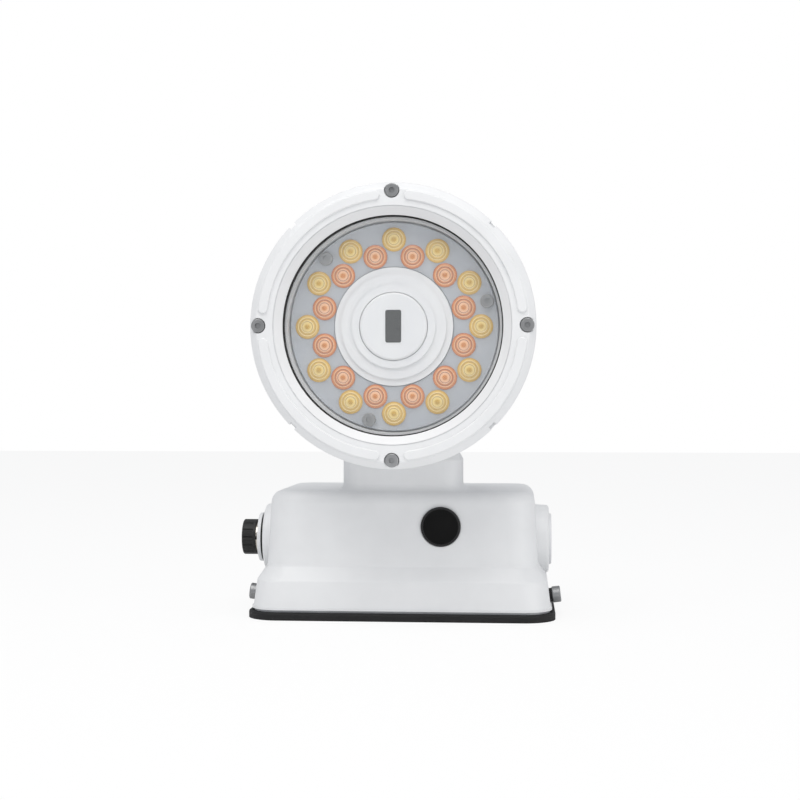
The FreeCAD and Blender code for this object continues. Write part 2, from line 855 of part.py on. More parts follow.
def make_control_board():
    """Circuit board with a notch over the cable entry."""
    board = slab(board_width, board_depth, 3.0, board_bottom, board_top)
    reach = cable_hole + grommet_flange + board_notch_gap
    board = board.cut(
        block(cable_x - reach, cable_x + reach, cable_y - reach, board_depth, board_bottom, board_top)
    )
    for x, y in pillar_places():
        board = board.cut(rod_z(pillar_stud, board_bottom, board_top, x, y))
    return board


def make_board_screws():
    screws = []
    for x, y in pillar_places():
        screw = rod_z(board_screw_head, board_top, board_top + board_screw_height, x, y)
        screws.append(screw.fuse(rod_z(pillar_stud, board_bottom - 5, board_top, x, y)))
    return Part.makeCompound(screws)


def terminal_places():
    first = terminal_x - terminal_pitch * (terminal_ways - 1) / 2
    return [first + terminal_pitch * k for k in range(terminal_ways)]


def make_terminal_block():
    """Screw terminals for the field wiring."""
    half = terminal_pitch * terminal_ways / 2
    top = board_top + terminal_height
    body = block(
        terminal_x - half,
        terminal_x + half,
        terminal_y - terminal_depth / 2,
        terminal_y + terminal_depth / 2,
        board_top,
        top,
    )
    for x in terminal_places():
        body = body.cut(rod_z(2.0, top - 5, top, x, terminal_y))
        body = body.cut(rod_y(1.6, terminal_y, terminal_y + terminal_depth / 2, x, board_top + 4))
    return body


def make_terminal_screws():
    screws = []
    top = board_top + terminal_height
    for x in terminal_places():
        screw = rod_z(2.0, top - 5, top - 1, x, terminal_y)
        slot = block(x - 2, x + 2, terminal_y - 0.3, terminal_y + 0.3, top - 1.8, top - 1)
        screws.append(screw.cut(slot))
    return Part.makeCompound(screws)


def make_power_module():
    """Potted power supply block."""
    x, y = power_at
    a, b, c = power_size
    body = block(x - a / 2, x + a / 2, y - b / 2, y + b / 2, board_top, board_top + c)
    return body.makeFillet(1.5, level_edges(body, board_top + c))


def make_capacitors():
    cans = []
    for x, y in capacitor_at:
        can = rod_z(capacitor_radius, board_top, board_top + capacitor_height, x, y)
        cans.append(can.makeFillet(0.8, level_edges(can, board_top + capacitor_height)))
    return Part.makeCompound(cans)


def make_lamp_header():
    """Plug-in header under the neck, where the lamp lead starts."""
    a, b, c = header_size
    return block(-a / 2, a / 2, pivot_y - b / 2, pivot_y + b / 2, board_top, board_top + c)


def make_selector_body():
    """Rotary selector for the flash pattern and tone."""
    x, y = selector_at
    half = selector_size / 2
    top = board_top + selector_height
    body = block(x - half, x + half, y - half, y + half, board_top, top)
    return body.cut(rod_z(rotor_radius + rotor_fit, top - rotor_depth, top, x, y))


def make_selector_rotor():
    """Slotted rotor of the selector, with a pointer notch."""
    x, y = selector_at
    top = board_top + selector_height + rotor_proud
    rotor = rod_z(rotor_radius, board_top + selector_height - rotor_depth, top, x, y)
    rotor = rotor.cut(block(x - rotor_radius, x + rotor_radius * 0.8, y - 0.5, y + 0.5, top - 1.2, top))
    return rotor


# ---- Tilt pivot --------------------------------------------------------------------------------------------
def make_friction_washers():
    """Washers that grip between the knuckle and the ears."""
    half = knuckle_width / 2
    right = rod_x(knuckle_radius, half, ear_inner, pivot_y, pivot_z)
    right = right.cut(rod_x(lock_bolt_radius, half, ear_inner, pivot_y, pivot_z))
    left = rod_x(knuckle_radius, -ear_inner, -half, pivot_y, pivot_z)
    left = left.cut(rod_x(hollow_pivot_radius + 0.05, -ear_inner, -half, pivot_y, pivot_z))
    return Part.makeCompound([left, right])


def make_lock_washer():
    ring = rod_x(lock_head_radius + 1, ear_outer, ear_outer + lock_washer, pivot_y, pivot_z)
    return ring.cut(rod_x(lock_bolt_radius, ear_outer, ear_outer + lock_washer, pivot_y, pivot_z))


def make_tilt_lock_bolt():
    """Socket-head bolt through the right ear into the knuckle: it sets the grip of the tilt."""
    seat = ear_outer + lock_washer
    bolt = rod_x(lock_bolt_radius, knuckle_width / 2 - lock_bolt_depth, seat, pivot_y, pivot_z)
    head = rod_x(lock_head_radius, seat, seat + lock_head_height, pivot_y, pivot_z)
    head = head.makeFillet(0.8, [e for e in head.Edges if abs(e.BoundBox.XMin - seat - lock_head_height) < 0.01])
    socket = hexagon_x(8.0, seat + 3, seat + lock_head_height, pivot_y, pivot_z)
    return bolt.fuse(head).cut(socket)


def make_hollow_pivot():
    """Sleeve pressed into the left ear and turning in the knuckle; the lead passes through it."""
    inner_end = -lead_bend
    outer_end = -ear_inner - hollow_pivot_seat
    sleeve = rod_x(hollow_pivot_radius, outer_end, inner_end, pivot_y, pivot_z)
    return sleeve.cut(rod_x(hollow_pivot_bore, outer_end, inner_end, pivot_y, pivot_z))


def make_ear_cap():
    """Plug over the threading hole in the left ear."""
    head = rod_x(9.0, -ear_outer - 2, -ear_outer, pivot_y, pivot_z)
    head = head.makeFillet(0.8, [e for e in head.Edges if abs(e.BoundBox.XMax + ear_outer + 2) < 0.01])
    return head.fuse(rod_x(lead_channel + 0.5, -ear_outer, -ear_outer + 3, pivot_y, pivot_z))


def swept_lead(path):
    """A round lead along a path of straight runs and tangent arcs."""
    wire = Part.Wire(path)
    first = wire.Edges[0]
    start = first.valueAt(first.FirstParameter)
    direction = first.tangentAt(first.FirstParameter)
    section = Part.Wire(Part.makeCircle(lead_radius, start, direction))
    return wire.makePipeShell([section], True, False)


def corner_path(start, middle, end, bend):
    """Two runs joined by a tangent quarter arc of radius bend."""
    towards_start = (start - middle).normalize()
    towards_end = (end - middle).normalize()
    p = middle + towards_start * bend
    r = middle + towards_end * bend
    centre = middle + (towards_start + towards_end) * bend
    q = centre + (middle - centre).normalize() * bend
    return [
        Part.LineSegment(start, p).toShape(),
        Part.Arc(p, q, r).toShape(),
        Part.LineSegment(r, end).toShape(),
    ]


def make_neck_lead():
    """Lamp lead from the header up the neck and out along the tilt axis."""
    start = Vector(0, pivot_y, board_top + header_size[2])
    middle = Vector(0, pivot_y, pivot_z)
    end = Vector(-ear_inner, pivot_y, pivot_z)
    return swept_lead(corner_path(start, middle, end, lead_bend))


def lead_column():
    """X of the lead channel in the left ear."""
    return -(ear_inner + ear_thick / 2)


def make_head_lead():
    """Lamp lead from the tilt axis through the left ear to the driver board."""
    start = Vector(-ear_inner, pivot_y, pivot_z)
    middle = Vector(lead_column(), pivot_y, pivot_z)
    end = Vector(lead_column(), driver_back, pivot_z)
    return swept_lead(corner_path(start, middle, end, ear_thick / 2 - 1))


# ---- Head housing ------------------------------------------------------------------------------------------
def ear_plate():
    """Right ear: a flat plate with a round end about the tilt axis."""
    root_y = head_back - head_back_wall / 2
    low = pivot_z - ear_radius
    high = pivot_z + ear_radius
    corners = [
        Vector(ear_inner, root_y, low),
        Vector(ear_inner, pivot_y, low),
        Vector(ear_inner, pivot_y + ear_radius, pivot_z),
        Vector(ear_inner, pivot_y, high),
        Vector(ear_inner, root_y, pivot_z + ear_root_rise),
    ]
    edges = [
        Part.LineSegment(corners[0], corners[1]).toShape(),
        Part.Arc(corners[1], corners[2], corners[3]).toShape(),
        Part.LineSegment(corners[3], corners[4]).toShape(),
        Part.LineSegment(corners[4], corners[0]).toShape(),
    ]
    plate = Part.Face(Part.Wire(edges)).extrude(Vector(ear_thick, 0, 0))
    return plate.makeFillet(2.0, [e for e in plate.Edges if abs(e.BoundBox.XMin - ear_outer) < 0.01])


def cooling_fins():
    """Upright fins on the back of the head: short ones between the ears, long ones outside them."""
    envelope = head_profile(
        [(0, cone_front), (head_radius - 3, cone_front), (head_cone_end + 11, fin_back), (0, fin_back)]
    )
    reach = head_radius
    places = [k * fin_pitch for k in range(-middle_fins, middle_fins + 1)]
    for k in range(outer_fins):
        x = ear_outer + fin_pitch * (k + 1)
        places += [-x, x]
    plates = []
    for x in places:
        start = pocket_floor + 2 if abs(x) < ear_inner else cone_front
        plate = block(x - fin_thick / 2, x + fin_thick / 2, start, fin_back, head_z - reach, head_z + reach)
        plates.append(plate.common(envelope))
    inner_limit = head_disc(head_cone_end - 2, pocket_floor, fin_back)
    trimmed = []
    for x, plate in zip(places, plates):
        trimmed.append(plate.common(inner_limit) if abs(x) < ear_inner else plate)
    return trimmed


def make_head_housing():
    """Cast head: flange, chamber for the light engine, pocket for the driver, fins and two ears."""
    body = head_profile(
        [
            (0, seat_plane),
            (head_radius - head_flange_inset, seat_plane),
            (head_radius - head_flange_inset, cone_front - 1.5),
            (head_radius - head_flange_inset - 1.5, cone_front),
            (head_cone_start, cone_front),
            (head_cone_end, head_back),
            (0, head_back),
        ]
    )
    right = ear_plate()
    body = body.fuse([right, mirrored(right)] + cooling_fins())
    body = body.cut(head_disc(chamber_radius, seat_plane, chamber_floor))
    body = body.cut(head_disc(pocket_radius, chamber_floor, pocket_floor))
    for k in range(3):
        x, z = head_point(driver_post_pitch, 90 + 120 * k)
        post = rod_y(3.5, driver_back, pocket_floor + 1, x, z)
        body = body.fuse(post).cut(rod_y(1.25, driver_back, pocket_floor, x, z))
    for angle in optic_screw_angles:
        x, z = head_point(optic_screw_pitch, angle)
        body = body.cut(rod_y(optic_screw_shank, chamber_floor, chamber_floor + optic_screw_depth, x, z))
    for k in range(4):
        x, z = head_point(bezel_screw_pitch, 90 * k)
        depth = min(bezel_screw_depth, head_flange_thick)
        body = body.cut(rod_y(bezel_screw_shank, seat_plane, seat_plane + depth, x, z))
    return cut_ear_bores(body).removeSplitter()


def cut_ear_bores(body):
    """Bolt hole in the right ear; sleeve seat, lead channel and threading hole in the left one."""
    body = body.cut(rod_x(lock_bolt_radius + 0.08, ear_inner, ear_outer, pivot_y, pivot_z))
    seat = rod_x(hollow_pivot_radius, -ear_inner - hollow_pivot_seat, -ear_inner, pivot_y, pivot_z)
    across = rod_x(lead_channel + 0.5, -ear_outer, -ear_inner, pivot_y, pivot_z)
    along = rod_y(lead_channel, pocket_floor - 1, pivot_y, lead_column(), pivot_z)
    return body.cut(seat).cut(across).cut(along)


# ---- Bezel, lens and seals -----------------------------------------------------------------------------------
def rib():
    """One raised rib between two bezel screws, with round ends and soft top edges."""
    a0 = rib_end_angle
    a1 = 90 - rib_end_angle
    middle = (rib_inner + rib_outer) / 2
    end_radius = (rib_outer - rib_inner) / 2
    foot = bezel_front + 0.3

    def at(radius, angle):
        x, z = head_point(radius, angle)
        return Vector(x, foot, z)

    def end_tip(angle, turn):
        x, z = head_point(middle, angle)
        tangent = math.radians(angle + turn)
        return Vector(x + end_radius * math.cos(tangent), foot, z + end_radius * math.sin(tangent))

    wire = Part.Wire(
        [
            Part.Arc(at(rib_outer, a0), at(rib_outer, 45), at(rib_outer, a1)).toShape(),
            Part.Arc(at(rib_outer, a1), end_tip(a1, 90), at(rib_inner, a1)).toShape(),
            Part.Arc(at(rib_inner, a1), at(rib_inner, 45), at(rib_inner, a0)).toShape(),
            Part.Arc(at(rib_inner, a0), end_tip(a0, -90), at(rib_outer, a0)).toShape(),
        ]
    )
    bar = Part.Face(wire).extrude(Vector(0, rib_front - foot, 0))
    top = [e for e in bar.Edges if abs(e.BoundBox.YMin - rib_front) < 0.01 and abs(e.BoundBox.YMax - rib_front) < 0.01]
    return bar.makeFillet(rib_height * 0.6, top)


def make_bezel_ring():
    """White bezel: sloping rim, four ribs, screw pockets, rim notches and a sloping inner band."""
    slope_start = rib_outer + 0.6
    bezel = head_profile(
        [
            (lens_opening, lip_front),
            (bezel_flat_inner, bezel_front),
            (slope_start, bezel_front),
            (head_radius, bezel_front + bezel_slope),
            (head_radius, seat_plane),
            (lens_radius + lens_side_gap, seat_plane),
            (lens_radius + lens_side_gap, lip_back),
            (lens_opening, lip_back),
        ]
    )
    soft = rings_at(bezel, head_radius, bezel_front + bezel_slope) + rings_at(bezel, slope_start, bezel_front)
    bezel = bezel.makeFillet(1.6, soft)
    groove = head_ring(
        bezel_flat_inner + bezel_groove, bezel_flat_inner, bezel_front, bezel_front + bezel_groove
    )
    bezel = bezel.cut(groove)
    one_rib = rib()
    bezel = bezel.fuse([around_head(one_rib, 90 * k) for k in range(4)])
    notch = block(
        head_radius - notch_depth,
        head_radius + 1,
        bezel_front,
        seat_plane,
        head_z - notch_width / 2,
        head_z + notch_width / 2,
    )
    for k in range(4):
        bezel = bezel.cut(around_head(notch, 45 + 90 * k))
        x, z = head_point(bezel_screw_pitch, 90 * k)
        pocket_floor_y = bezel_front + bezel_pocket_depth
        bezel = bezel.cut(rod_y(bezel_screw_head + 0.5, rib_front - 1, pocket_floor_y, x, z))
        bezel = bezel.cut(rod_y(bezel_screw_shank + 0.2, pocket_floor_y, seat_plane, x, z))
    return bezel


def make_bezel_screws():
    """Socket screws that clamp the bezel, lens and seals to the head housing."""
    screws = []
    seat = bezel_front + bezel_pocket_depth
    for k in range(4):
        x, z = head_point(bezel_screw_pitch, 90 * k)
        head = rod_y(bezel_screw_head, seat - bezel_screw_height, seat, x, z)
        front = [e for e in head.Edges if abs(e.BoundBox.YMax - seat + bezel_screw_height) < 0.01]
        head = head.makeFillet(0.6, front)
        depth = min(bezel_screw_depth, head_flange_thick)
        screw = head.fuse(rod_y(bezel_screw_shank, seat, seat_plane + depth, x, z))
        screws.append(screw.cut(rod_y(1.7, seat - bezel_screw_height, seat - bezel_screw_height + 1.4, x, z)))
    return Part.makeCompound(screws)


def make_lens_gasket():
    """Black gasket between the bezel lip and the lens; its edge shows inside the lip."""
    return head_ring(lens_radius, lens_opening - lens_gasket_proud, lip_back, lens_front)


def make_front_lens():
    """Clear flat lens."""
    lens = head_disc(lens_radius, lens_front, lens_back)
    return lens.makeFillet(0.4, lens.Edges)


def make_housing_seal():
    """Seal between the lens and the head housing."""
    return head_ring(lens_radius - 0.2, chamber_radius + 1.5, lens_back, seat_plane)


# ---- Light engine ----------------------------------------------------------------------------------------------
def yellow_angles():
    return [360.0 * k / lens_count for k in range(lens_count)]


def amber_angles():
    return [360.0 * (k + 0.5) / lens_count for k in range(lens_count)]


def lenslet():
    """One stepped lenslet with its tapered back, on the head's +X radius at the origin of the ring."""
    parts = []
    front = optic_front
    for share, height in lenslet_steps:
        parts.append(rod_y(lenslet_radius * share, front - height, front, 0, head_z))
        front -= height
    tip = chip_front - chip_gap
    parts.append(
        Part.makeCone(lenslet_radius * 0.85, tip_radius, tip - optic_back, Vector(0, optic_back, head_z), Vector(0, 1, 0))
    )
    return parts[0].fuse(parts[1:])


def make_optic_plate():
    """Clear moulded optic: a flat ring that carries every lenslet."""
    plate = head_ring(optic_radius, optic_inner, optic_front, optic_back)
    shapes = []
    for pitch, angles in ((yellow_pitch, yellow_angles()), (amber_pitch, amber_angles())):
        for angle in angles:
            copy = lenslet()
            copy.translate(Vector(pitch, 0, 0))
            shapes.append(around_head(copy, angle))
    plate = plate.fuse(shapes)
    for angle in optic_screw_angles:
        x, z = head_point(optic_screw_pitch, angle)
        plate = plate.cut(rod_y(optic_screw_shank, optic_front, optic_back, x, z))
    return plate


def make_optic_screws():
    screws = []
    for angle in optic_screw_angles:
        x, z = head_point(optic_screw_pitch, angle)
        head = rod_y(optic_screw_head, optic_front - optic_screw_height, optic_front, x, z)
        front = [e for e in head.Edges if abs(e.BoundBox.YMax - optic_front + optic_screw_height) < 0.01]
        head = head.makeFillet(0.6, front)
        shank = rod_y(optic_screw_shank, optic_front, chamber_floor + optic_screw_depth, x, z)
        recess = rod_y(1.7, optic_front - optic_screw_height, optic_front - optic_screw_height + 1.4, x, z)
        screws.append(head.fuse(shank).cut(recess))
    return Part.makeCompound(screws)


def make_optic_spacers():
    """Spacers that hold the optic off the LED board."""
    spacers = []
    for angle in optic_screw_angles:
        x, z = head_point(optic_screw_pitch, angle)
        spacer = rod_y(spacer_radius, optic_back, board_front, x, z)
        spacers.append(spacer.cut(rod_y(optic_screw_shank, optic_back, board_front, x, z)))
    return Part.makeCompound(spacers)


def make_led_board():
    board = head_disc(chamber_radius - 0.5, board_front, chamber_floor)
    board = board.cut(head_disc(8.0, board_front, chamber_floor))
    for angle in optic_screw_angles:
        x, z = head_point(optic_screw_pitch, angle)
        board = board.cut(rod_y(optic_screw_shank, board_front, chamber_floor, x, z))
    return board


def chips(pitch, angles):
    half = chip_size / 2
    chip = block(pitch - half, pitch + half, chip_front, board_front, head_z - half, head_z + half)
    return Part.makeCompound([around_head(chip, angle) for angle in angles])


def make_led_chips_yellow():
    return chips(yellow_pitch, yellow_angles())


def make_led_chips_amber():
    return chips(amber_pitch, amber_angles())


def make_reflector_ring():
    """Stepped reflector inside the optic, standing on the LED board."""
    outer = reflector_steps[0][0]
    inner = boss_radius + boss_gap
    ring = head_ring(outer, inner, optic_front - reflector_steps[0][1], optic_back)
    for radius, height in reflector_steps[1:]:
        ring = ring.fuse(head_ring(radius, inner, optic_front - height, optic_front))
    skirt = head_ring(outer - 0.4, outer - 0.4 - reflector_wall, optic_back, board_front)
    return ring.fuse(skirt).removeSplitter()


def window_solid(y0, y1):
    """The rounded rectangular window, upright on the head axis."""
    face = Part.Face(round_outline(window_width, window_height, window_corner, 0))
    solid = face.extrude(Vector(0, 0, y1 - y0))
    solid.rotate(Vector(0, 0, 0), Vector(1, 0, 0), 90)
    solid.translate(Vector(0, y1, head_z))
    return solid


def make_centre_boss():
    """White hub in the middle of the light engine, hollow, with the window opening."""
    boss = head_disc(boss_radius, boss_front, board_front)
    boss = boss.makeFillet(1.6, rings_at(boss, boss_radius, boss_front))
    core = boss_radius - boss_wall
    boss = boss.cut(head_disc(core - sensor_step, boss_front + boss_wall, sensor_front))
    boss = boss.cut(head_disc(core, sensor_front, board_front))
    return boss.cut(window_solid(boss_front - 1, boss_front + boss_wall))


def make_sensor_window():
    return window_solid(boss_front - 0.2, boss_front + boss_wall - 0.2)


def make_sensor_board():
    """Sensor board against the shoulder in the boss."""
    return head_disc(boss_radius - boss_wall - 0.05, sensor_front, sensor_front + board_thick)


def make_sensor_chip():
    return head_disc(4.0, sensor_front - 4, sensor_front)


def make_driver_board():
    board = head_disc(driver_radius, driver_front, driver_back)
    for k in range(3):
        x, z = head_point(driver_post_pitch, 90 + 120 * k)
        board = board.cut(rod_y(1.25, driver_front, driver_back, x, z))
    return board


def make_driver_screws():
    screws = []
    for k in range(3):
        x, z = head_point(driver_post_pitch, 90 + 120 * k)
        screw = rod_y(2.4, driver_front - 1.8, driver_front, x, z)
        screws.append(screw.fuse(rod_y(1.25, driver_front, driver_back + 5, x, z)))
    return Part.makeCompound(screws)


def make_driver_parts():
    """Inductor, rectifier and capacitor on the front of the driver board."""
    room = driver_front - chamber_floor - 1.2
    inductor = rod_y(8.0, driver_front - min(7.0, room), driver_front, 14, head_z + 8)
    capacitor = rod_y(5.0, driver_front - min(8.0, room), driver_front, -18, head_z + 10)
    rectifier = block(-8, 8, driver_front - 4, driver_front, head_z - 24, head_z - 14)
    return Part.makeCompound([inductor, capacitor, rectifier])


nodes = {
    "base_gasket": make_base_gasket,
    "mounting_plate": make_mounting_plate,
    "cable_grommet": make_cable_grommet,
    "earth_screw": make_earth_screw,
    "clamp_screws": make_clamp_screws,
    "clamp_washers": make_clamp_washers,
    "base_housing": make_base_housing,
    "sounder_rim": make_sounder_rim,
    "sounder_mesh": make_sounder_mesh,
    "sounder_nut": make_sounder_nut,
    "sounder_capsule": make_sounder_capsule,
    "port_gasket": make_port_gasket,
    "port_flange": make_port_flange,
    "connector_barrel": make_connector_barrel,
    "connector_insert": make_connector_insert,
    "connector_pins": make_connector_pins,
    "connector_nut": make_connector_nut,
    "connector_cap": make_connector_cap,
    "cap_seal": make_cap_seal,
    "blank_plate": make_blank_plate,
    "blank_oring": make_blank_oring,
    "blank_nut": make_blank_nut,
    "board_pillars": make_board_pillars,
    "control_board": make_control_board,
    "board_screws": make_board_screws,
    "terminal_block": make_terminal_block,
    "terminal_screws": make_terminal_screws,
    "power_module": make_power_module,
    "capacitors": make_capacitors,
    "lamp_header": make_lamp_header,
    "selector_body": make_selector_body,
    "selector_rotor": make_selector_rotor,
    "friction_washers": make_friction_washers,
    "lock_washer": make_lock_washer,
    "tilt_lock_bolt": make_tilt_lock_bolt,
    "hollow_pivot": make_hollow_pivot,
    "ear_cap": make_ear_cap,
    "neck_lead": make_neck_lead,
    "head_lead": make_head_lead,
    "head_housing": make_head_housing,
    "bezel_ring": make_bezel_ring,
    "bezel_screws": make_bezel_screws,
    "lens_gasket": make_lens_gasket,
    "front_lens": make_front_lens,
    "housing_seal": make_housing_seal,
    "optic_plate": make_optic_plate,
    "optic_screws": make_optic_screws,
    "optic_spacers": make_optic_spacers,
    "led_board": make_led_board,
    "led_chips_yellow": make_led_chips_yellow,
    "led_chips_amber": make_led_chips_amber,
    "reflector_ring": make_reflector_ring,
    "centre_boss": make_centre_boss,
    "sensor_window": make_sensor_window,
    "sensor_board": make_sensor_board,
    "sensor_chip": make_sensor_chip,
    "driver_board": make_driver_board,
    "driver_screws": make_driver_screws,
    "driver_parts": make_driver_parts,
}

os.makedirs("parts", exist_ok=True)
for name, make in nodes.items():
    shape = make()
    shape.exportStep("parts/" + name + ".step")
    print(name, "solids", len(shape.Solids), "volume", round(shape.Volume), "valid", shape.isValid())
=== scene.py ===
"""Looks for an aimable LED warning lamp with a sounder, on a surface-mounted box base."""

import math

import bmesh
import bpy
import numpy as np
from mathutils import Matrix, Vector


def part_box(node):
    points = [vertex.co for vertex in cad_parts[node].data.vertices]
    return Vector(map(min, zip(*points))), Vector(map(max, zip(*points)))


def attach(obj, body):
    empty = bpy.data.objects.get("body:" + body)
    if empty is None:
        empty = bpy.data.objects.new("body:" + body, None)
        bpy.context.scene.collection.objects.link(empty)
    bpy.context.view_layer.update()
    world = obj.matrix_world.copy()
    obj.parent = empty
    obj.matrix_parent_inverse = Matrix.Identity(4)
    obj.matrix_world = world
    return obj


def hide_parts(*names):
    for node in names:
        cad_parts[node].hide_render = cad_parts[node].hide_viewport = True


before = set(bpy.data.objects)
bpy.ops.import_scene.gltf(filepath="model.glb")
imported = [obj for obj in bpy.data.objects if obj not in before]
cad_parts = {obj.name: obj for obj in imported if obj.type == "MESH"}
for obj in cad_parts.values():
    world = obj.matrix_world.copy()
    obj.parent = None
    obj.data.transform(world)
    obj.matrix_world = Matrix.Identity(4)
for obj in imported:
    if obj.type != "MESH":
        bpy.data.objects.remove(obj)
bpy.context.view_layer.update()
MM = 0.001


# ---- Camera ------------------------------------------------------------------------------------------
# A long lens held level with the top of the base, a little to the right of the middle. It looks
# straight ahead with no tilt, so upright edges stay upright.
def place_camera():
    """Camera at a point in front of the base, turned a few degrees towards the middle of the lamp."""
    spot = (74.6 * MM, -1002.0 * MM, 138.5 * MM)
    turn_degrees = 4.52
    data = bpy.data.cameras.new("studio_camera")
    data.sensor_width = 36.0
    data.lens = 67.6
    data.clip_start = 0.01
    camera = bpy.data.objects.new("studio_camera", data)
    camera.location = spot
    camera.rotation_euler = (math.radians(90), 0, math.radians(turn_degrees))
    bpy.context.scene.collection.objects.link(camera)
    bpy.context.scene.camera = camera


place_camera()
bpy.context.scene.view_settings.view_transform = "Standard"


# ---- Studio ------------------------------------------------------------------------------------------
# A white cove: pale matt floor, white all round, one wide soft box overhead and towards the front and
# a weaker one low at the side. Shadows stay soft and short.
def linear(hex_colour):
    """sRGB hex to linear RGBA: (v / 12.92) below the knee, ((v + 0.055) / 1.055) ** 2.4 above it."""
    values = [int(hex_colour[i:i + 2], 16) / 255 for i in (1, 3, 5)]
    return tuple(v / 12.92 if v <= 0.04045 else ((v + 0.055) / 1.055) ** 2.4 for v in values) + (1.0,)


def add_node(owner, kind, values=None, links=None, **settings):
    """Adds one shader node with its properties, its socket values and the outputs linked into it."""
    node = owner.node_tree.nodes.new(kind)
    for key, value in settings.items():
        setattr(node, key, value)
    for socket, value in (values or {}).items():
        node.inputs[socket].default_value = value
    for socket, output in (links or {}).items():
        owner.node_tree.links.new(output, node.inputs[socket])
    return node


def blank_tree(owner):
    """Empties the node tree of a new material or world."""
    owner.use_nodes = True
    owner.node_tree.nodes.clear()
    return owner


def seen_directly(owner):
    """Output that is 1 where the camera sees the surface, also through glass, and 0 for its light."""
    path = add_node(owner, "ShaderNodeLightPath")
    either = add_node(
        owner, "ShaderNodeMath", operation="MAXIMUM",
        links={0: path.outputs["Is Camera Ray"], 1: path.outputs["Is Transmission Ray"]},
    )
    return either.outputs[0]


def light_the_world():
    """White background for the camera, and a slightly dimmer white that fills the shadows."""
    world = blank_tree(bpy.data.worlds.new("white_cove"))
    fill = add_node(world, "ShaderNodeBackground", {"Color": linear("#F4F6FA"), "Strength": 0.62})
    white = add_node(world, "ShaderNodeBackground", {"Color": (1, 1, 1, 1), "Strength": 1.0})
    mix = add_node(
        world, "ShaderNodeMixShader",
        links={0: seen_directly(world), 1: fill.outputs[0], 2: white.outputs[0]},
    )
    add_node(world, "ShaderNodeOutputWorld", links={"Surface": mix.outputs[0]})
    bpy.context.scene.world = world


def soft_box(name, place, aim, size, watts):
    """A square area light at a place, facing a point."""
    data = bpy.data.lights.new(name, "AREA")
    data.size = size
    data.energy = watts
    data.color = linear("#FFFDFA")[:3]
    lamp = bpy.data.objects.new(name, data)
    direction = Vector(aim) - Vector(place)
    lamp.location = place
    lamp.rotation_euler = direction.to_track_quat("-Z", "Y").to_euler()
    bpy.context.scene.collection.objects.link(lamp)


LAMP_AIM = (0, -0.05, 0.12)
light_the_world()
soft_box("overhead_box", (-0.15, -0.75, 1.30), LAMP_AIM, size=1.1, watts=11.0)
soft_box("side_box", (1.2, -0.9, 0.35), LAMP_AIM, size=0.8, watts=3.0)


def make_floor():
    """Flat square floor under the gasket: z = 0, out to reach on each side."""
    reach = 3.0
    glow_share = 0.86
    corners = np.array([[-1, -1, 0], [1, -1, 0], [1, 1, 0], [-1, 1, 0]], float) * reach
    mesh = bpy.data.meshes.new("floor")
    mesh.from_pydata(corners.tolist(), [], [(0, 1, 2, 3)])
    floor = bpy.data.objects.new("floor", mesh)
    bpy.context.scene.collection.objects.link(floor)
    paper = blank_tree(bpy.data.materials.new("white_backdrop_paper"))
    matt = add_node(paper, "ShaderNodeBsdfDiffuse", {"Color": linear("#F7F7F7")})
    glow = add_node(paper, "ShaderNodeEmission", {"Color": (1, 1, 1, 1), "Strength": 1.0})
    keep_shadow = add_node(
        paper, "ShaderNodeMath", {1: glow_share}, {0: seen_directly(paper)}, operation="MULTIPLY"
    )
    mix = add_node(
        paper, "ShaderNodeMixShader",
        links={0: keep_shadow.outputs[0], 1: matt.outputs[0], 2: glow.outputs[0]},
    )
    add_node(paper, "ShaderNodeOutputMaterial", links={"Surface": mix.outputs[0]})
    mesh.materials.append(paper)


make_floor()


# ---- Base gasket, grommet and washers ----------------------------------------------------------------
# Moulded EPDM rubber: a flat gasket under the whole base, the grommet of the cable entry and the
# sealing washers of the clamp screws. Dead black, matt, with a faint blasted mould texture.
def paint(material, *nodes):
    """Gives one material to CAD nodes."""
    for name in nodes:
        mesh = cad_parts[name].data
        mesh.materials.clear()
        mesh.materials.append(material)


def grained(name, dark, light, grain_mm, relief_mm, rough, metallic=0.0, coat=0.0, patch_mm=18.0):
    """Cast, moulded or painted surface.

    Two noises on Object coordinates: a fine one with the grain's size lifts the surface by relief_mm
    and moves the roughness between its two values, and a broad one drifts the colour from dark to light.
    """
    made = blank_tree(bpy.data.materials.new(name))
    where = add_node(made, "ShaderNodeTexCoord").outputs["Object"]
    grain = add_node(
        made, "ShaderNodeTexNoise", {"Scale": 1 / (grain_mm * MM), "Detail": 3.0, "Roughness": 0.55},
        {"Vector": where},
    )
    drift = add_node(
        made, "ShaderNodeTexNoise", {"Scale": 1 / (patch_mm * MM), "Detail": 4.0}, {"Vector": where}
    )
    ramp = add_node(made, "ShaderNodeValToRGB", links={"Fac": drift.outputs["Fac"]})
    ramp.color_ramp.elements[0].position = 0.35
    ramp.color_ramp.elements[0].color = linear(dark)
    ramp.color_ramp.elements[1].position = 0.65
    ramp.color_ramp.elements[1].color = linear(light)
    dull = add_node(
        made, "ShaderNodeMapRange", {"To Min": rough[0], "To Max": rough[1]},
        {"Value": grain.outputs["Fac"]},
    )
    bump = add_node(
        made, "ShaderNodeBump", {"Strength": 0.8, "Distance": relief_mm * MM},
        {"Height": grain.outputs["Fac"]},
    )
    shader = add_node(
        made, "ShaderNodeBsdfPrincipled", {"Metallic": metallic, "Coat Weight": coat},
        {
            "Base Color": ramp.outputs["Color"],
            "Roughness": dull.outputs["Result"],
            "Normal": bump.outputs["Normal"],
        },
    )
    add_node(made, "ShaderNodeOutputMaterial", links={"Surface": shader.outputs["BSDF"]})
    return made


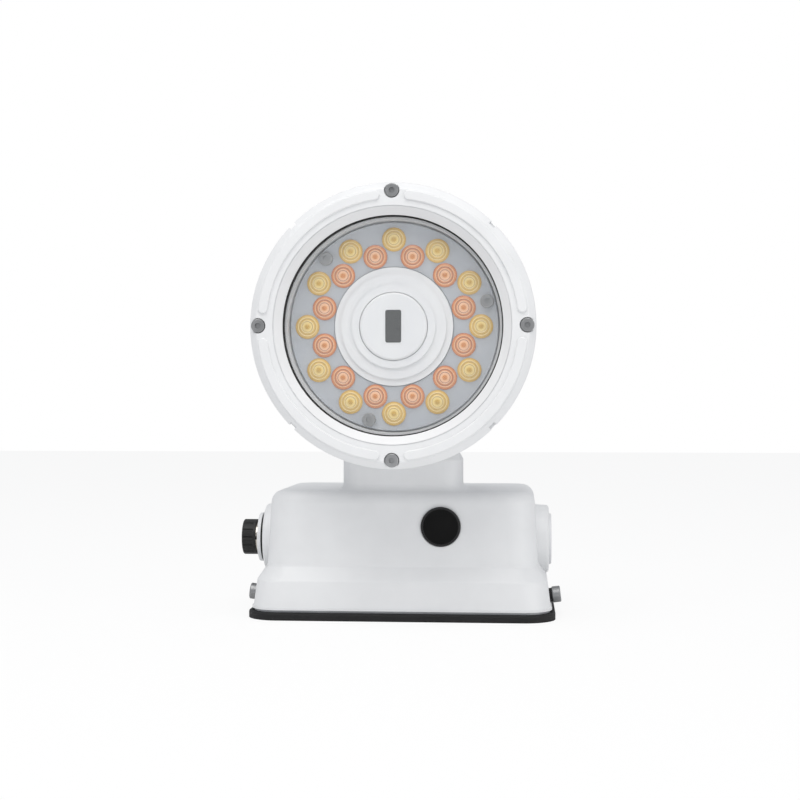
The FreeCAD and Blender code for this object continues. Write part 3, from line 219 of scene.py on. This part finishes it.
# Carbon-filled rubber soaks up light; only the blasted texture catches a little.
moulded_rubber = grained("moulded_epdm_rubber", "#0E0E0F", "#161617", 0.45, 0.03, (0.62, 0.8))
paint(moulded_rubber, "base_gasket", "cable_grommet", "clamp_washers", "port_gasket", "blank_oring")
paint(moulded_rubber, "cap_seal", "lens_gasket", "housing_seal")


# ---- Mounting plate and its hardware -----------------------------------------------------------------
# Die-cast aluminium plate that is screwed to the surface; the housing is clamped over it. Bead
# blasted, so it is an even mid grey. The pillars and the earth screw are turned brass.
cast_aluminium = grained("blasted_cast_aluminium", "#A9ABAE", "#B7B9BC", 0.5, 0.03, (0.4, 0.55), 1.0)
turned_brass = grained("turned_brass", "#B98F4A", "#C79D56", 0.3, 0.008, (0.22, 0.34), 1.0)
paint(cast_aluminium, "mounting_plate")
paint(turned_brass, "board_pillars", "earth_screw", "connector_pins")


# ---- Base housing ------------------------------------------------------------------------------------
# Aluminium casting with the neck in one piece: box, ledge, plinth and port bosses. Polyester powder
# coat in satin white, which gives a slight orange peel and rounds every edge.
powder_coat = grained("white_polyester_powder_coat", "#E6E7E8", "#E9EAEB", 0.9, 0.006, (0.36, 0.46))
paint(powder_coat, "base_housing", "head_housing")


# ---- Clamp screws, bezel screws, pivot bolt ----------------------------------------------------------
# Stainless steel socket screws, cold headed and left bare. Fine turning lines and handling make them
# a soft mid grey instead of a mirror.
stainless = grained("headed_stainless_steel", "#8E8F90", "#A3A4A5", 0.35, 0.01, (0.36, 0.5), 0.85)
paint(stainless, "clamp_screws", "bezel_screws", "optic_screws", "tilt_lock_bolt", "lock_washer")
paint(stainless, "hollow_pivot", "board_screws", "terminal_screws", "driver_screws")


# ---- Sounder port ------------------------------------------------------------------------------------
# Screw-in port body moulded in black glass-filled nylon, with a fine acoustic mesh over the membrane.
# The capsule and the nut behind the wall are black too.
black_nylon = grained("black_moulded_nylon", "#0B0B0C", "#121213", 0.3, 0.012, (0.42, 0.56))
paint(black_nylon, "sounder_rim", "sounder_nut", "sounder_capsule", "connector_insert")


def woven_mesh():
    """Black woven mesh: two crossed sine waves, one thread every 0.5 mm, drawn twice as coarse as real."""
    thread_mm = 0.5
    made = blank_tree(bpy.data.materials.new("black_acoustic_mesh"))
    where = add_node(made, "ShaderNodeTexCoord").outputs["Object"]
    bands = [
        add_node(
            made, "ShaderNodeTexWave", {"Scale": math.pi / 10 / (thread_mm * MM)}, {"Vector": where},
            wave_type="BANDS", bands_direction=direction,
        )
        for direction in ("X", "Z")
    ]
    weave = add_node(
        made, "ShaderNodeMath", links={0: bands[0].outputs["Fac"], 1: bands[1].outputs["Fac"]},
        operation="MULTIPLY",
    )
    ramp = add_node(made, "ShaderNodeValToRGB", links={"Fac": weave.outputs[0]})
    ramp.color_ramp.elements[0].color = linear("#020202")
    ramp.color_ramp.elements[1].color = linear("#0E0E0F")
    bump = add_node(
        made, "ShaderNodeBump", {"Strength": 0.9, "Distance": 0.08 * MM}, {"Height": weave.outputs[0]}
    )
    shader = add_node(
        made, "ShaderNodeBsdfPrincipled", {"Roughness": 0.7, "Specular IOR Level": 0.2},
        {"Base Color": ramp.outputs["Color"], "Normal": bump.outputs["Normal"]},
    )
    add_node(made, "ShaderNodeOutputMaterial", links={"Surface": shader.outputs["BSDF"]})
    return made


paint(woven_mesh(), "sounder_mesh")


# ---- Left port: flange and connector -----------------------------------------------------------------
# White moulded flange over a rubber gasket, and a round connector barrel in nickel-plated brass held
# by a nut inside. Plating over fine turning: bright, slightly warm.
white_moulding = grained("white_moulded_plastic", "#E4E5E7", "#E8E9EA", 0.7, 0.006, (0.38, 0.5))
nickel_plate = grained("nickel_plated_brass", "#BDB7AE", "#CBC6BD", 0.25, 0.006, (0.16, 0.28), 1.0)
paint(white_moulding, "port_flange", "blank_plate", "lamp_header", "optic_spacers", "selector_rotor")
paint(nickel_plate, "connector_barrel", "connector_nut", "blank_nut")


# ---- Connector cap -----------------------------------------------------------------------------------
# Fluted screw cap moulded in black nylon; it unscrews off the barrel with its seal inside.
cap_nylon = grained("black_fluted_cap_nylon", "#090909", "#101011", 0.25, 0.015, (0.45, 0.6))
paint(cap_nylon, "connector_cap", "ear_cap")


# ---- Electronics in the base -------------------------------------------------------------------------
# Green solder-masked boards with potted and moulded parts, seen only with the housing off.
solder_mask = grained("green_solder_mask", "#0E3B20", "#145029", 1.8, 0.02, (0.25, 0.4), 0.0, 0.3)
potting = grained("black_potting_compound", "#101012", "#17171A", 0.6, 0.02, (0.3, 0.5))
can_aluminium = grained("drawn_aluminium_can", "#9FA1A4", "#B4B6B9", 0.4, 0.008, (0.25, 0.4), 1.0)
lead_jacket = grained("black_lead_jacket", "#101011", "#18181A", 0.3, 0.01, (0.45, 0.6))
paint(solder_mask, "control_board", "driver_board", "sensor_board")
paint(potting, "power_module", "terminal_block", "selector_body", "driver_parts", "sensor_chip")
paint(can_aluminium, "capacitors")
paint(lead_jacket, "neck_lead", "head_lead", "friction_washers")


# ---- LED board ---------------------------------------------------------------------------------------
# Aluminium-cored board under a bluish white solder mask, with one phosphor chip behind each lenslet.
# The mask throws back most of the light, so the lamp looks pale inside even when it is off.
board_mask = grained("white_solder_mask", "#D3D7DE", "#DCDFE5", 2.4, 0.01, (0.3, 0.45), 0.0, 0.2)
yellow_chip = grained("yellow_phosphor_chip", "#E3B93A", "#EBC650", 0.4, 0.01, (0.35, 0.5))
amber_chip = grained("amber_phosphor_chip", "#DB8A3C", "#E59A50", 0.4, 0.01, (0.35, 0.5))
paint(board_mask, "led_board")
paint(yellow_chip, "led_chips_yellow")
paint(amber_chip, "led_chips_amber")


# ---- Optic plate and lenslets ------------------------------------------------------------------------
# One clear acrylic moulding: a flat ring that carries two circles of stepped lenslets. Each lenslet
# magnifies the chip behind it, which gives it its yellow or amber colour; the bright and dark rings on
# its steps are painted highlights and painted shade.
def grid_object(name, points, uv):
    """Mesh from grids of points, shape (..., rows, columns, 3), each joined into quads.

    Doubles are merged, which closes seams and poles, and the faces are turned outwards. uv has the
    same shape with two values, and is kept on the face corners.
    """
    rows, columns = points.shape[-3:-1]
    flat = points.reshape(-1, 3)
    grids = flat.shape[0] // (rows * columns)
    corner = (np.arange(rows - 1)[:, None] * columns + np.arange(columns - 1)[None, :]).ravel()
    corner = (np.arange(grids)[:, None] * rows * columns + corner[None, :]).ravel()
    faces = np.stack([corner, corner + 1, corner + columns + 1, corner + columns], axis=1)
    mesh = bpy.data.meshes.new(name)
    mesh.from_pydata(flat.tolist(), [], faces.tolist())
    layer = mesh.uv_layers.new(name="UVMap")
    layer.data.foreach_set("uv", uv.reshape(-1, 2)[faces.ravel()].ravel().astype(np.float32))
    work = bmesh.new()
    work.from_mesh(mesh)
    bmesh.ops.remove_doubles(work, verts=work.verts, dist=1e-6)
    bmesh.ops.dissolve_degenerate(work, edges=work.edges, dist=1e-7)
    bmesh.ops.recalc_face_normals(work, faces=work.faces)
    work.to_mesh(mesh)
    work.free()
    mesh.shade_smooth()
    mesh.set_sharp_from_angle(angle=math.radians(38))
    made = bpy.data.objects.new(name, mesh)
    bpy.context.scene.collection.objects.link(made)
    return made


def show(piece, material, body, slot, *nodes):
    """Finishes a new piece: its material, the body it rides on and the nodes it stands for; slot is not
    used.
    """
    piece.data.materials.append(material)
    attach(piece, body)
    if nodes:
        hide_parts(*nodes)
    return piece


optic_low, optic_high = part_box("optic_plate")
head_z = (optic_low.z + optic_high.z) / 2
LENSLETS = 12
LENSLET_RADIUS = 7.25 * MM
LENSLET_HEIGHT = 2.5 * MM
YELLOW_PITCH = 52.2 * MM
AMBER_PITCH = 43.3 * MM
PLATE_FRONT = optic_low.y + LENSLET_HEIGHT
PLATE_THICK = 2.5 * MM
PLATE_INNER = 35.8 * MM
PLATE_OUTER = 62.5 * MM
PLATE_EDGE = 0.4 * MM


def turned_on_face(profile, pitch, angles, segments=64):
    """Shapes turned about axes along Y, at places on a circle round the head.

    profile is (radius, y) pairs; a point is the place plus radius * (cos t, sin t) in X and Z.
    """
    turn = np.linspace(0, 2 * math.pi, segments + 1)
    radius, depth = profile[:, 0], profile[:, 1]
    ring_x = radius[:, None] * np.cos(turn)[None, :]
    ring_z = radius[:, None] * np.sin(turn)[None, :]
    place = np.radians(np.asarray(angles, float))[:, None, None]
    x = pitch * np.cos(place) + ring_x[None]
    z = head_z + pitch * np.sin(place) + ring_z[None]
    y = np.broadcast_to(depth[None, :, None], x.shape)
    share = np.broadcast_to((radius / radius.max())[None, :, None], x.shape)
    around = np.broadcast_to((turn / (2 * math.pi))[None, None, :], x.shape)
    return np.stack([x, y, z], axis=-1), np.stack([share, around], axis=-1)


def lenslet_profile():
    """Section of a lenslet: a low dome with two raised rings and a button in the middle.

    With s the share of the radius, height = rim + dome * (1 - s * s) + ring * (the two bumps)
    + button * exp(-(s / button_width) ** 2), where a bump is exp(-((s - its place) / width) ** 2).
    """
    rim = 0.45
    dome = 1.1
    ring = 0.35
    ring_width = 0.045
    button = 0.5
    button_width = 0.2
    sunk = 0.2 * MM
    s = np.linspace(0, 1, 49)
    bumps = sum(np.exp(-((s - place) / ring_width) ** 2) for place in (0.50, 0.77))
    middle = button * np.exp(-((s / button_width) ** 2))
    height = dome * (1 - s * s) + ring * bumps + middle + rim
    front = np.stack([s * LENSLET_RADIUS, PLATE_FRONT - height * MM], axis=1)
    back = np.array([[LENSLET_RADIUS, PLATE_FRONT + sunk], [0, PLATE_FRONT + sunk]])
    return np.concatenate([front, back])


def lenslet_material(name, stops):
    """Clear acrylic filled with the image of its chip: colour by distance from the axis, in the UV map.

    Besides the chip's colour, the stops hold painted highlights on the raised rings and painted shade
    beside them.
    """
    made = blank_tree(bpy.data.materials.new(name))
    where = add_node(made, "ShaderNodeTexCoord").outputs["UV"]
    spot = add_node(made, "ShaderNodeSeparateXYZ", links={0: where})
    ramp = add_node(made, "ShaderNodeValToRGB", links={"Fac": spot.outputs["X"]})
    elements = ramp.color_ramp.elements
    while len(elements) < len(stops):
        elements.new(1.0)
    for element, (position, colour) in zip(elements, stops):
        element.position = position
        element.color = linear(colour)
    shader = add_node(
        made, "ShaderNodeBsdfPrincipled",
        {
            "Roughness": 0.16, "IOR": 1.49, "Specular IOR Level": 0.45,
            "Coat Weight": 0.3, "Coat Roughness": 0.04,
        },
        {"Base Color": ramp.outputs["Color"]},
    )
    add_node(made, "ShaderNodeOutputMaterial", links={"Surface": shader.outputs["BSDF"]})
    return made


# Colour stops as (share of the radius, colour): the chip's colour, with painted highlights in the bright
# rings at 0.50 and 0.76 over the raised steps and painted shade in the dark rings at 0.44 and 0.69.
YELLOW_CHIP_AND_PAINTED_LIGHT_RINGS = (
    (0.00, "#CDA02A"), (0.17, "#D3A938"), (0.25, "#EBCB72"), (0.38, "#F0D88F"), (0.44, "#C19A4A"),
    (0.50, "#F8E3A4"), (0.58, "#E0BA58"), (0.69, "#C49B46"), (0.76, "#F6DD98"), (0.84, "#E0B650"),
    (0.94, "#D2A744"), (1.00, "#BF953E"),
)
AMBER_CHIP_AND_PAINTED_LIGHT_RINGS = (
    (0.00, "#CE7C28"), (0.17, "#D58637"), (0.25, "#F0B888"), (0.38, "#F2C09A"), (0.44, "#9E5A34"),
    (0.50, "#F8CBA4"), (0.58, "#DA8E56"), (0.69, "#A05A32"), (0.76, "#F6BF90"), (0.84, "#DE8A48"),
    (0.94, "#CB763A"), (1.00, "#A85F34"),
)
yellow_lens = lenslet_material("acrylic_over_yellow_chip_painted_light", YELLOW_CHIP_AND_PAINTED_LIGHT_RINGS)
amber_lens = lenslet_material("acrylic_over_amber_chip_painted_light", AMBER_CHIP_AND_PAINTED_LIGHT_RINGS)


def clear_acrylic():
    """Clear acrylic plate: partly seen through, with a faint blue body and slow flow marks."""
    flow_mm = 50 / 3
    made = blank_tree(bpy.data.materials.new("clear_cast_acrylic"))
    where = add_node(made, "ShaderNodeTexCoord").outputs["Object"]
    flow = add_node(
        made, "ShaderNodeTexNoise", {"Scale": 1 / (flow_mm * MM), "Detail": 2.0}, {"Vector": where}
    )
    ramp = add_node(made, "ShaderNodeValToRGB", links={"Fac": flow.outputs["Fac"]})
    ramp.color_ramp.elements[0].color = linear("#D2D8E1")
    ramp.color_ramp.elements[1].color = linear("#E2E6EB")
    bump = add_node(
        made, "ShaderNodeBump", {"Strength": 0.4, "Distance": 0.15 * MM}, {"Height": flow.outputs["Fac"]}
    )
    shader = add_node(
        made, "ShaderNodeBsdfPrincipled", {"Roughness": 0.12, "IOR": 1.49, "Alpha": 0.55},
        {"Base Color": ramp.outputs["Color"], "Normal": bump.outputs["Normal"]},
    )
    add_node(made, "ShaderNodeOutputMaterial", links={"Surface": shader.outputs["BSDF"]})
    return made


acrylic = clear_acrylic()
every_30 = np.arange(LENSLETS) * 360 / LENSLETS
yellow_points, yellow_uv = turned_on_face(lenslet_profile(), YELLOW_PITCH, every_30)
amber_points, amber_uv = turned_on_face(lenslet_profile(), AMBER_PITCH, every_30 + 15)
show(grid_object("yellow_lenslets", yellow_points, yellow_uv), yellow_lens, "head", "optic_clear")
show(grid_object("amber_lenslets", amber_points, amber_uv), amber_lens, "head", "optic_clear")


def ring_profile(inner, outer, front, back, edge):
    """Closed section of a flat ring with small chamfers, as (radius, y) pairs."""
    return np.array([
        [inner, back], [inner, front + edge], [inner + edge, front], [outer - edge, front],
        [outer, front + edge], [outer, back], [inner, back],
    ])


plate_section = ring_profile(
    PLATE_INNER, PLATE_OUTER, PLATE_FRONT, PLATE_FRONT + PLATE_THICK, PLATE_EDGE
)
plate_points, plate_uv = turned_on_face(plate_section, 0.0, [0.0], segments=160)
show(grid_object("optic_ring", plate_points, plate_uv), acrylic, "head", "optic_clear", "optic_plate")


# ---- Front lens, bezel ring --------------------------------------------------------------------------
# Flat toughened glass, held on its rubber gasket by the bezel ring. The ring is cast and powder
# coated white like the housings, with four raised ribs between its screws.
def clear_glass():
    """Toughened glass with an anti-glare coat: faint face on, with polished faces."""
    haze_mm = 25.0
    made = blank_tree(bpy.data.materials.new("coated_clear_glass"))
    where = add_node(made, "ShaderNodeTexCoord").outputs["Object"]
    haze = add_node(
        made, "ShaderNodeTexNoise", {"Scale": 1 / (haze_mm * MM), "Detail": 1.0}, {"Vector": where}
    )
    dull = add_node(
        made, "ShaderNodeMapRange", {"To Min": 0.02, "To Max": 0.05}, {"Value": haze.outputs["Fac"]}
    )
    shader = add_node(
        made, "ShaderNodeBsdfPrincipled",
        {"Base Color": linear("#F2F6F8"), "Alpha": 0.07, "IOR": 1.52},
        {"Roughness": dull.outputs["Result"]},
    )
    add_node(made, "ShaderNodeOutputMaterial", links={"Surface": shader.outputs["BSDF"]})
    return made


paint(clear_glass(), "front_lens")
paint(powder_coat, "bezel_ring")


# ---- Reflector ring, centre boss and sensor window ---------------------------------------------------
# White mouldings that fill the middle of the lamp: the stepped ring inside the lenslets and the boss
# over the sensor. The sensor's window in the boss is a black moulding.
paint(white_moulding, "centre_boss", "reflector_ring")
paint(black_nylon, "sensor_window")
